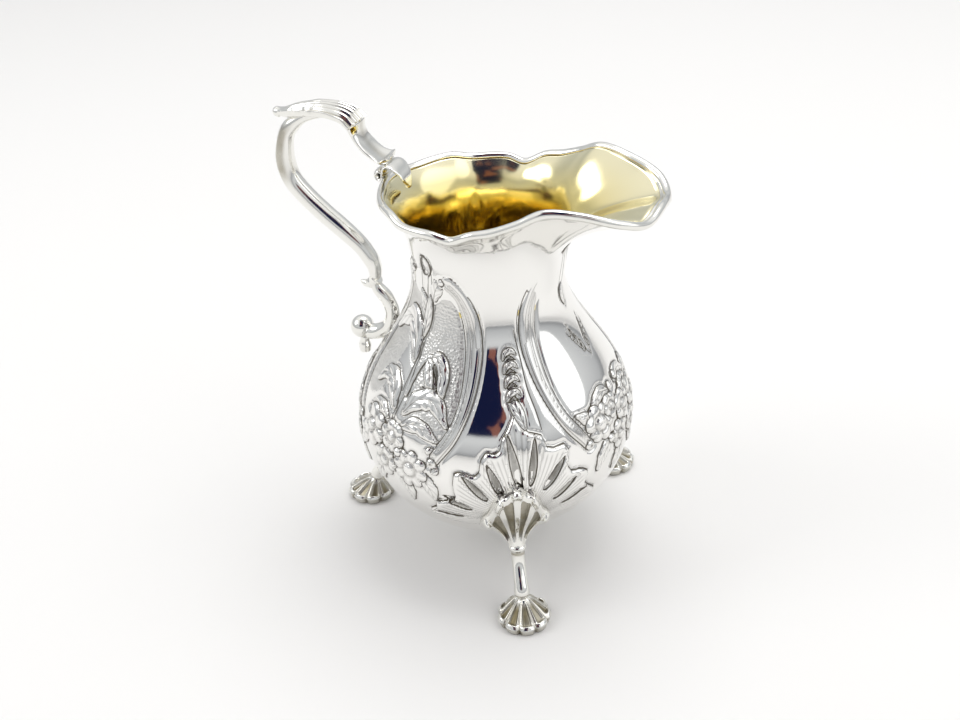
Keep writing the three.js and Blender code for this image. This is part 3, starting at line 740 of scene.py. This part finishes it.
def make_main_scroll():
    """The handle's big scroll, from the meeting of the scrolls over its back to the arch's end."""
    points = [(-31, 68.6), (-31.2, 72.9), (-33.8, 77.3), (-38, 81.1), (-43.1, 85.1), (-47.9, 89.3),
              (-51.4, 93.4), (-52.7, 98.1), (-52.3, 102.6), (-51, 106.2), (-48.6, 108.6), (-45.3, 110.5),
              (-41.5, 111.7), (-37.9, 112), (-34.5, 111.2), (-32.6, 109.6)]

    # Painted shade down one side of the scroll's back, over part of the arch.
    def shade_and_tarnish(share, angle):
        there = smoothstep(share, 0.47, 0.56) * (1 - smoothstep(share, 0.68, 0.76))
        return 0.6 * there * smoothstep(np.cos(angle + 1.35), 0.72, 0.98)

    widths = [(0, 1.5), (0.1, 2.1), (0.25, 2.4), (0.55, 2.45), (0.7, 2), (0.8, 1.3), (1, 1)]
    return bar("main_scroll", points, round_bar(widths, 1.4, shade_and_tarnish), 180, 44)


def make_leaf_cap():
    """The ribbed leaf along the arch; it starts as a round thumb knob and ends square over the bracket."""
    points = [(-54, 110.2), (-52.7, 111), (-49.5, 111.9), (-45.6, 112.9), (-41.7, 113.7), (-37.9, 113.7),
              (-33.6, 112.7), (-30.9, 110.4)]

    def section(share, angle, length):
        across = np.sin(angle)
        upper = np.cos(angle) > 0.05
        leaf = smoothstep(share, 0.05, 0.13)
        knob = 1.35 * np.sqrt(np.clip(1 - ((share - 0.05) / 0.05) ** 2, 0, 1)) * (share < 0.1)
        knob = np.maximum(knob, 1.15 * (share > 0.05))
        half = along_bar(share, [(0, 1.2), (0.12, 1.8), (0.3, 3), (0.55, 3.8), (0.85, 4.4), (1, 4.7)])
        waves = np.abs(np.sin(math.pi * np.clip((share - 0.14) / 0.13, 0, 3)))
        half = half * (1 + 0.09 * waves * (share < 0.53))
        below = along_bar(share, [(0, 1), (0.2, 1.9), (0.5, 2.1), (0.85, 1.5), (1, 0.9)])
        thick = np.where(upper, 0.62, below) * np.sign(np.cos(angle)) * np.abs(np.cos(angle)) ** 0.6
        ribs = np.cos(6 * math.pi * across) * smoothstep(share, 0.1, 0.3) * upper
        ends = np.sqrt(np.clip(1 - np.clip((share - 0.975) / 0.025, 0, 1) ** 2, 0.2, 1))
        bow = -0.7 * across**2 * smoothstep(share, 0.15, 0.6)
        up = knob * np.cos(angle) * (1 - leaf) + ((thick + 0.3 * ribs) * ends + bow) * leaf
        side = knob * across * (1 - leaf) + half * across * ends * leaf
        # Painted shade in the grooves between the ribs, with tarnish.
        return up, side, 0.55 * smoothstep(-ribs, 0.2, 0.95)

    return bar("leaf_cap", points, section, 170, 96)


def make_bracket():
    """The strap from the arch's end down to the mouth, dished and flared at its lip."""
    points = [(-32, 111.2), (-31.8, 108.2), (-30.5, 105.2), (-28, 102.9), (-25.3, 101.7), (-23.5, 102.2)]

    def section(share, angle, length):
        across = np.sin(angle)
        half = along_bar(share, [(0, 4.2), (0.25, 3.3), (0.7, 3.5), (1, 4.5)]) * rounding(share, length, 0.8)
        thick = along_bar(share, [(0, 1.4), (0.5, 1.1), (1, 0.7)]) * np.cos(angle)
        thick = thick * rounding(share, length, 0.8)
        dish = 0.8 * across**2 * smoothstep(share, 0.1, 0.5)
        # Painted shade down the middle of the dished strap, with tarnish.
        return thick + dish, half * across, 0.35 * smoothstep(0.5 - np.abs(across), 0, 0.5)

    return bar("bracket_strap", points, section, 90, 64)


def make_tongue():
    """The small dished leaf that grips the wire: rolled outside the mouth, pointed inside it."""
    points = [(-25.3, 98.6), (-26.1, 99.3), (-27, 98.5), (-26.5, 97.3), (-25.3, 97.6), (-25, 99.2),
              (-24, 100.7), (-22.2, 100.4), (-20.4, 98.4), (-19.5, 95)]

    def section(share, angle, length):
        across = np.sin(angle)
        half = along_bar(share, [(0, 2.4), (0.4, 2.8), (0.62, 3.4), (0.82, 2.5), (1, 0.5)])
        half = half * rounding(share, length, 0.7)
        thick = 0.75 * np.cos(angle) * rounding(share, length, 0.7)
        return thick + 0.4 * across**2 * smoothstep(share, 0.4, 0.6), half * across, 0 * share

    return bar("tongue_leaf", points, section, 130, 56)


def make_lower_scroll():
    """The small C scroll from the meeting of the scrolls round to the ball's strap."""
    points = [(-31.5, 68.4), (-30.5, 66.2), (-28.3, 63.6), (-27.2, 60.2), (-27.9, 56.9), (-29.8, 54.7),
              (-32.6, 53.3), (-35.2, 53.2)]
    widths = [(0, 1.4), (0.2, 1.8), (0.5, 1.8), (0.75, 2), (1, 2.1)]
    return bar("lower_scroll", points, round_bar(widths, 0.8), 110, 36)


def make_spur():
    """The pointed end of the big scroll, where it curls out over the small one."""
    points = [(-30.5, 69.4), (-31.8, 68), (-33.4, 67.2), (-35.4, 67.7)]
    return bar("spur", points, round_bar([(0, 1.8), (0.4, 1.5), (0.75, 0.95), (1, 0.4)], 0.4), 50, 24)


def make_ball():
    """The ball on the strap, a little fuller and lower than its bare size."""
    low, high = box_mm("handle_ball")
    middle = (low + high) / 2 + (0.4, 0, -0.4)
    radius = 1.12 * (high[2] - low[2]) / 2
    bm = bmesh.new()
    bmesh.ops.create_uvsphere(bm, u_segments=48, v_segments=32, radius=radius)
    bmesh.ops.recalc_face_normals(bm, faces=bm.faces)
    piece = finish_mesh(bm, "scroll_ball")
    points = points_of(piece) + middle
    # Painted shade on the ball's underside.
    store(piece, "tarnish_and_shade", 0.4 * smoothstep(middle[2] - points[:, 2], 1.2, 2.6))
    return place(piece, points)


def make_drop():
    """The pear-shaped drop under the strap."""
    low, high = box_mm("handle_drop")
    x, top = (low[0] + high[0]) / 2 - AXIS_X + 0.6, high[2] + 0.3
    points = [(x + 0.4, top), (x, top - 2.6), (x - 0.1, low[2] - 0.6)]
    widths = [(0, 1.1), (0.25, 1.2), (0.6, 1.6), (0.85, 1.45), (1, 1)]
    return bar("pendant_drop", points, round_bar(widths, 0.8), 60, 28)


# ------------------------------------------------------------------ the legs

KNEE_REACH, KNEE_Z = 32.2, 16.9
FOOT_MIDDLE, FOOT_RADIUS, FOOT_HEIGHT = 39.3, 6.6, 6.0
HINGE = FOOT_RADIUS * 0.34
LOBES = 9


def make_knee_shell(leg, turn):
    """A fan soldered to the bowl: five ribs with rolled ends, hollows between, gathered at the collar."""
    bm = bmesh.new()
    bmesh.ops.create_grid(bm, x_segments=110, y_segments=80, size=1)
    front = bmesh.ops.extrude_face_region(bm, geom=bm.faces[:])["geom"]
    bmesh.ops.translate(bm, verts=[v for v in front if isinstance(v, bmesh.types.BMVert)], vec=(0, 0, 1))
    piece = finish_mesh(bm, "knee_fan_" + leg)
    blank = points_of(piece)
    across, up, layer = blank[:, 0], (blank[:, 1] + 1) / 2, blank[:, 2]
    rib = 0.5 + 0.5 * np.cos(4 * math.pi * 1.08 * across)
    top = 35.6 - 14 * across**2 + 1.8 * rib
    half = 1.9 + 7.1 * up**1.2
    height = KNEE_Z + up * (top - KNEE_Z)
    below = top - height
    wall = radius_at(height)
    lift = np.maximum(0, KNEE_REACH - 1.2 - wall) * (1 - up) ** 2.2
    edge = np.sqrt(np.clip(1 - np.clip((np.abs(across) - 0.9) / 0.1, 0, 1) ** 2, 0, 1)
                   * np.clip(1 - np.clip(1 - below / 0.8, 0, 1) ** 2, 0, 1))
    hollow = 1 - (rib / 0.72) ** 2 - np.clip((4.4 - below) / 2.4, 0, 2) ** 2
    scoop = smoothstep(hollow, 0, 0.45) * smoothstep(up, 0.1, 0.28)
    roll = smoothstep(rib, 0.4, 0.9) * np.exp(-(((below - 1.3) / 1.1) ** 2))
    arch = (1 - across**2) * (1.7 - 1.0 * up)
    out = (1.2 + arch - 1.3 * scoop + 1.4 * roll) * edge
    radius = np.where(layer > 0.5, wall + 0.25 + lift + out, wall + 0.05)
    side = np.sign(across) * np.abs(across) ** 0.85 * half
    # Painted shade in the hollows between the ribs and on the back against the wall, with tarnish.
    store(piece, "tarnish_and_shade", np.where(layer > 0.5, 0.8 * scoop, 0.8))
    angle = side / radius
    return place(piece, turned_about_axis(radius * np.cos(angle), radius * np.sin(angle), height, turn))


def make_shank(leg, turn):
    """The slender S-shaped shank with a collar above and a bulb where it lands on the foot."""
    end = FOOT_MIDDLE - HINGE
    points = [(KNEE_REACH - 0.2, KNEE_Z + 1.2), (KNEE_REACH, KNEE_Z - 1), (KNEE_REACH + 0.7, 13),
              (34.6, 10.2), (end - 0.5, 7.6), (end, FOOT_HEIGHT - 0.9)]
    widths = [(0, 1.7), (0.09, 2.1), (0.17, 1.7), (0.5, 1.65), (0.75, 1.7), (0.9, 1.95), (1, 1.5)]

    # Painted shade in the crease under the collar and where the shank lands on the foot.
    def shade_and_tarnish(share, angle):
        return 0.8 * np.exp(-(((share - 0.185) / 0.03) ** 2)) + 0.4 * smoothstep(share, 0.9, 1)

    return bar("shank_" + leg, points, round_bar(widths, 0.9, shade_and_tarnish), 100, 36, turn)


def make_foot(leg, turn):
    """A scallop shell with nine lobes, ribbed from the shank's landing out to a rolled edge."""
    crown = np.linspace(0, 1, 46)
    rolled = np.linspace(0.1, 1, 8) * math.pi / 2
    rows = len(crown) + len(rolled) + 2
    piece = finish_mesh(spun_blank(rows, LOBES * 26), "scallop_foot_" + leg)
    blank = points_of(piece)
    row = np.rint(blank[:, 2]).astype(int)
    angle = np.arctan2(blank[:, 1], blank[:, 0])
    lobe = 0.5 + 0.5 * np.cos(LOBES * angle)
    notch = 1 - 0.11 * np.clip(1 - np.sqrt(lobe), 0, 1) ** 2
    edge = FOOT_RADIUS * notch
    share = np.interp(row, np.arange(rows), np.concatenate([crown, 1 + 0 * rolled, [0.5, 0]]))
    under = np.interp(row, np.arange(rows), np.concatenate([0 * crown, rolled, [math.pi / 2] * 2]))
    rim_z = 1.7
    dome = rim_z + (FOOT_HEIGHT - rim_z) * (1 - share**1.7) ** 1.15
    ribs = smoothstep(share, 0.2, 0.45) * (1 - smoothstep(share, 0.78, 0.9))
    dip = 0.95 * smoothstep(lobe, 0.1, 0.75) * ribs
    roll = 0.5 * np.exp(-(((share - 0.93) / 0.05) ** 2)) * (0.4 + 0.6 * lobe)
    height = np.where(row < len(crown), dome - dip + roll, rim_z * np.cos(under))
    reach = np.where(row < len(crown), share * edge, edge - 0.5 * (1 - np.cos(under)))
    reach = np.where(row >= rows - 2, share * edge, reach)
    shift = -HINGE * np.clip(1 - share, 0, 1) * (row < len(crown))
    # Painted shade in the grooves between the ribs, under the rolled edge and in the notches, with tarnish.
    store(piece, "tarnish_and_shade", np.where(row < len(crown), np.clip(1.2 * lobe * ribs, 0, 0.95), 0.3)
          + 0.6 * (1 - notch) / 0.11)
    return place(piece, turned_about_axis(FOOT_MIDDLE + shift + reach * np.cos(angle), reach * np.sin(angle),
                                          np.clip(height, 0, None), turn))


# ------------------------------------------------------------------ materials

def linear(colour):
    """An sRGB hex colour as linear RGBA."""
    parts = [int(colour[i:i + 2], 16) / 255 for i in (1, 3, 5)]
    return [c / 12.92 if c <= 0.04045 else ((c + 0.055) / 1.055) ** 2.4 for c in parts] + [1]


def add(tree, kind, inputs=None, **settings):
    """Adds a node with its settings; an input is a value or the socket that feeds it."""
    node = tree.nodes.new(kind)
    for key, value in settings.items():
        setattr(node, key, value)
    for key, value in (inputs or {}).items():
        if isinstance(value, bpy.types.NodeSocket):
            tree.links.new(value, node.inputs[key])
        else:
            node.inputs[key].default_value = value
    return node


def maths(tree, operation, *values, **settings):
    """One sum on the values given, in their order."""
    return add(tree, "ShaderNodeMath", dict(enumerate(values)), operation=operation, **settings).outputs[0]


def stored(tree, name):
    """A value that the mesh carries at its vertices."""
    return add(tree, "ShaderNodeAttribute", attribute_name=name).outputs["Fac"]


def chisel_lines(tree):
    """Chased lines about 0.25 mm wide, drawn where a signed distance on the surface crosses nought."""
    strongest = None
    for field in ("forms", "flowers", "cuts"):
        far = stored(tree, field)
        away = maths(tree, "ABSOLUTE", far)
        line = add(tree, "ShaderNodeMapRange", {"Value": away, "From Min": 0.05, "From Max": 0.18,
                                                "To Min": 1, "To Max": 0},
                   interpolation_type="SMOOTHSTEP").outputs[0]
        if field == "cuts":
            shown = stored(tree, "cut")
            line = maths(tree, "MULTIPLY", line, shown)
        if strongest is not None:
            line = maths(tree, "MAXIMUM", line, strongest)
        strongest = line
    return strongest


def metal(name, bright, dull, roughness, rough_dull, scratches=0.02, chased_lines=False):
    """A polished metal darkened where the surface is sunk: tarnish there, with painted shade in the hollows
    and lines.
    """
    material = bpy.data.materials.new(name)
    material.use_nodes = True
    tree = material.node_tree
    shader = tree.nodes["Principled BSDF"]
    shader.inputs["Metallic"].default_value = 1
    place_on = add(tree, "ShaderNodeTexCoord").outputs["Object"]
    shade_and_tarnish = stored(tree, "tarnish_and_shade")
    cloud = add(tree, "ShaderNodeTexNoise", {"Vector": place_on, "Scale": 220, "Detail": 3}).outputs["Fac"]
    patchy = add(tree, "ShaderNodeMapRange", {"Value": cloud, "From Min": 0.3, "From Max": 0.7,
                                              "To Min": 0.75, "To Max": 1.15}).outputs[0]
    # The stored darkness is painted shade in the hollows together with tarnish, made a little patchy.
    sunk = maths(tree, "MULTIPLY", shade_and_tarnish, patchy, use_clamp=True)
    if chased_lines:
        # Chased lines painted dark: painted shade in the chisel's grooves, with the tarnish they hold.
        chiselled = chisel_lines(tree)
        sunk = maths(tree, "MULTIPLY_ADD", chiselled, 0.75, sunk, use_clamp=True)
    colour = add(tree, "ShaderNodeMix", {0: sunk, 6: linear(bright), 7: linear(dull)},
                 data_type="RGBA").outputs[2]
    rough = add(tree, "ShaderNodeMapRange", {"Value": sunk, "To Min": roughness,
                                             "To Max": rough_dull}).outputs[0]
    # Fine polishing scratches, drawn a little coarser than the real ones so that they show.
    fine = add(tree, "ShaderNodeTexNoise", {"Vector": place_on, "Scale": 2600, "Detail": 2}).outputs["Fac"]
    bumps = maths(tree, "MULTIPLY", fine, scratches)
    if chased_lines:
        phase = stored(tree, "line")
        lined = stored(tree, "lined")
        turns = maths(tree, "MULTIPLY", phase, math.tau)
        wave = maths(tree, "SINE", turns)
        vein = maths(tree, "MULTIPLY", wave, lined)
        # One half of each fine line is painted darker: painted shade in the hatching and veins.
        hatched = maths(tree, "MULTIPLY", vein, -0.3, use_clamp=True)
        colour = add(tree, "ShaderNodeMix", {0: hatched, 6: colour, 7: linear(dull)},
                     data_type="RGBA").outputs[2]
        bumps = maths(tree, "MULTIPLY_ADD", vein, 0.3, bumps)
        bumps = maths(tree, "MULTIPLY_ADD", chiselled, -0.6, bumps)
        # The matting punch leaves dots about 0.6 mm apart.
        matting = stored(tree, "matting")
        dots = add(tree, "ShaderNodeTexVoronoi", {"Vector": place_on, "Scale": 1500}).outputs["Distance"]
        pricked = maths(tree, "MULTIPLY", dots, matting)
        bumps = maths(tree, "MULTIPLY_ADD", pricked, 1.2, bumps)
        rough = maths(tree, "MULTIPLY_ADD", matting, 0.2, rough)
    bump = add(tree, "ShaderNodeBump", {"Height": bumps, "Strength": 0.5, "Distance": 0.25 * MM})
    tree.links.new(colour, shader.inputs["Base Color"])
    tree.links.new(rough, shader.inputs["Roughness"])
    tree.links.new(bump.outputs[0], shader.inputs["Normal"])
    return material


def make_gold():
    """Fire gilding: rich yellow in the depth, thinner and paler towards the lip."""
    # 5A4514 is the gilt darkened over the chasing's dents: painted shade, with tarnish.
    material = metal("fire_gilding", "#ECD889", "#5A4514", 0.15, 0.35, 0.03)
    tree = material.node_tree
    shader = tree.nodes["Principled BSDF"]
    lip = stored(tree, "lip")
    gilt = shader.inputs["Base Color"].links[0].from_socket
    worn = add(tree, "ShaderNodeMix", {0: lip, 6: gilt, 7: linear("#EFE8C6")},
               data_type="RGBA").outputs[2]
    tree.links.new(worn, shader.inputs["Base Color"])
    return material


# ------------------------------------------------------------------ the object

# Raised sheet silver, burnished to a mirror between the chased work; its dark colour is tarnish with painted
# shade in the hollows and lines.
chased_silver = metal("chased_sheet_silver", "#F3F2EF", "#544E42", 0.07, 0.4, 0.02, True)
# Cast silver, filed and polished: a little softer in its reflections than the sheet; its dark colour is
# tarnish with painted shade in the hollows.
cast_silver = metal("cast_silver", "#EFEEE9", "#857C62", 0.12, 0.42, 0.05)
fire_gilding = make_gold()


def fit(piece, material, slot, *nodes):
    """Finishes a piece and puts it in the place of the plain solids it stands for."""
    piece.data.materials.append(material)
    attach(piece, "root")
    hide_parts(*nodes)


fit(make_body(), chased_silver, "chased_silver", "body")
fit(make_gilding(), fire_gilding, "gilding", "gilt_lining")
fit(make_rim(), cast_silver, "cast_silver", "rim_wire")
fit(make_main_scroll(), cast_silver, "cast_silver", "handle_main_scroll")
fit(make_leaf_cap(), cast_silver, "cast_silver", "handle_leaf_cap")
fit(make_bracket(), cast_silver, "cast_silver", "handle_bracket")
fit(make_tongue(), cast_silver, "cast_silver", "handle_tongue")
fit(make_lower_scroll(), cast_silver, "cast_silver", "handle_lower_scroll")
fit(make_spur(), cast_silver, "cast_silver", "handle_spur")
fit(make_ball(), cast_silver, "cast_silver", "handle_ball")
fit(make_drop(), cast_silver, "cast_silver", "handle_drop")
for leg, turn in LEGS.items():
    fit(make_knee_shell(leg, turn), cast_silver, "cast_silver", "knee_shell_" + leg)
    fit(make_shank(leg, turn), cast_silver, "cast_silver", "leg_shank_" + leg)
    fit(make_foot(leg, turn), cast_silver, "cast_silver", "foot_shell_" + leg)


# ------------------------------------------------------------------ floor, light and camera

FLOOR_RADIUS = 3.0  # metres, as is everything in the room


def make_floor():
    """A pale matt table that runs well past the view."""
    bm = bmesh.new()
    bmesh.ops.create_circle(bm, cap_ends=True, segments=96, radius=FLOOR_RADIUS)
    floor = finish_mesh(bm, "studio_floor")
    material = bpy.data.materials.new("matt_white_paper")
    material.use_nodes = True
    shader = material.node_tree.nodes["Principled BSDF"]
    shader.inputs["Base Color"].default_value = linear("#F1F0EE")
    shader.inputs["Roughness"].default_value = 0.9
    floor.data.materials.append(material)


# The dark figure that the bowl mirrors, on the sphere round the room: its bearing in the plan, how
# far it reaches to each side of that bearing, and how high it begins, both as sines of an angle.
FIGURE_BEARING = math.radians(-76)
FIGURE_HALF, FIGURE_FOOT = 0.31, 0.31
FIGURE_SOFT = 0.02
# How bright the room is from straight below to straight above.
ROOM = [(0.0, "#F0F0F0"), (0.49, "#E2E2E2"), (0.5, "#8E9093"), (0.53, "#B9BBBE"), (0.62, "#D6D8DA"),
        (0.72, "#C4C7CA"), (0.82, "#F4F4F4"), (1.0, "#FFFFFF")]


def dark_figure(tree, way, height):
    """How much of the figure there is in a direction: an upright shape with uneven edges."""
    ahead = (math.cos(FIGURE_BEARING), math.sin(FIGURE_BEARING), 0)
    aside = (-ahead[1], ahead[0], 0)
    ragged = add(tree, "ShaderNodeTexNoise", {"Vector": way, "Scale": 3, "Detail": 2}).outputs["Fac"]
    across = add(tree, "ShaderNodeVectorMath", {0: way, 1: aside}, operation="DOT_PRODUCT").outputs["Value"]
    across = maths(tree, "MULTIPLY_ADD", ragged, 0.3, across)
    across = maths(tree, "SUBTRACT", across, 0.15)
    across = maths(tree, "ABSOLUTE", across)
    wide = add(tree, "ShaderNodeMapRange", {"Value": across, "From Min": FIGURE_HALF + FIGURE_SOFT,
                                            "From Max": FIGURE_HALF - FIGURE_SOFT}).outputs[0]
    towards = add(tree, "ShaderNodeVectorMath", {0: way, 1: ahead}, operation="DOT_PRODUCT").outputs["Value"]
    front = maths(tree, "GREATER_THAN", towards, 0.1)
    wide = maths(tree, "MULTIPLY", wide, front)
    tall = add(tree, "ShaderNodeMapRange", {"Value": height, "From Min": FIGURE_FOOT - FIGURE_SOFT,
                                            "From Max": FIGURE_FOOT + FIGURE_SOFT}).outputs[0]
    return maths(tree, "MULTIPLY", wide, tall)


def make_world():
    """A pale room with a darker band at the height of the furniture and a dark figure at the front."""
    world = bpy.data.worlds.new("pale_room")
    bpy.context.scene.world = world
    world.use_nodes = True
    tree = world.node_tree
    way = add(tree, "ShaderNodeTexCoord").outputs["Generated"]
    height = add(tree, "ShaderNodeSeparateXYZ", {0: way}).outputs["Z"]
    level = add(tree, "ShaderNodeMapRange", {"Value": height, "From Min": -1, "From Max": 1}).outputs[0]
    ramp = add(tree, "ShaderNodeValToRGB", {0: level})
    while len(ramp.color_ramp.elements) < len(ROOM):
        ramp.color_ramp.elements.new(0.5)
    for element, (spot, colour) in zip(ramp.color_ramp.elements, ROOM):
        element.position = spot
        element.color = linear(colour)
    # The figure is in dark blue, with a few patches of warm skin.
    patch = add(tree, "ShaderNodeTexNoise", {"Vector": way, "Scale": 4.5, "Detail": 1}).outputs["Fac"]
    skin = add(tree, "ShaderNodeMapRange", {"Value": patch, "From Min": 0.56, "From Max": 0.6}).outputs[0]
    tint = add(tree, "ShaderNodeMix", {0: skin, 6: linear("#141A3A"), 7: linear("#8A5A50")},
               data_type="RGBA").outputs[2]
    room = add(tree, "ShaderNodeMix", {0: dark_figure(tree, way, height), 6: ramp.outputs[0], 7: tint},
               data_type="RGBA").outputs[2]
    # Seen straight on, the room is plain paper; only what it lights and mirrors has the figure in it.
    seen = add(tree, "ShaderNodeLightPath").outputs["Is Camera Ray"]
    plain = add(tree, "ShaderNodeMix", {0: seen, 6: room, 7: linear("#F6F6F6")},
                data_type="RGBA").outputs[2]
    tree.links.new(plain, tree.nodes["Background"].inputs["Color"])
    tree.nodes["Background"].inputs["Strength"].default_value = 1.0


def area_light(name, location, target, size, power):
    """A round softbox turned to its target."""
    light = bpy.data.lights.new(name, "AREA")
    light.shape = "DISK"
    light.size = size
    light.energy = power
    lamp = bpy.data.objects.new(name, light)
    lamp.location = location
    lamp.rotation_euler = (Vector(target) - Vector(location)).to_track_quat("-Z", "Y").to_euler()
    bpy.context.scene.collection.objects.link(lamp)


SENSOR, LENS = 36, 49.04
CAMERA_PLACE = Vector((0.1137 + AXIS_X * MM, -0.2546, 0.2219))
# The camera's own directions: to its right, up, and back from what it looks at.
CAMERA_RIGHT = Vector((0.92, 0.3884, -0.0528))
CAMERA_UP = Vector((-0.1622, 0.4997, 0.8509))
CAMERA_BACK = Vector((0.3569, -0.7742, 0.5227))


def make_camera():
    """The view from the front, a little to the spout's side and well above the mouth."""
    camera = bpy.data.objects.new("camera", bpy.data.cameras.new("camera"))
    camera.data.sensor_width = SENSOR
    camera.data.lens = LENS
    camera.data.clip_start = 0.01
    turn = Matrix((CAMERA_RIGHT, CAMERA_UP, CAMERA_BACK)).transposed().to_4x4()
    camera.matrix_world = Matrix.Translation(CAMERA_PLACE) @ turn
    bpy.context.scene.collection.objects.link(camera)
    bpy.context.scene.camera = camera


bpy.context.scene.view_settings.view_transform = "Standard"
make_floor()
make_world()
area_light("left_softbox", (-0.7, -0.35, 0.6), (0, 0, 0.05), 0.5, 1.6)
area_light("right_softbox", (0.75, 0.05, 0.55), (0, 0, 0.05), 0.9, 1.35)
area_light("overhead", (0.05, 0.25, 0.9), (0, 0, 0), 0.6, 2.9)
make_camera()
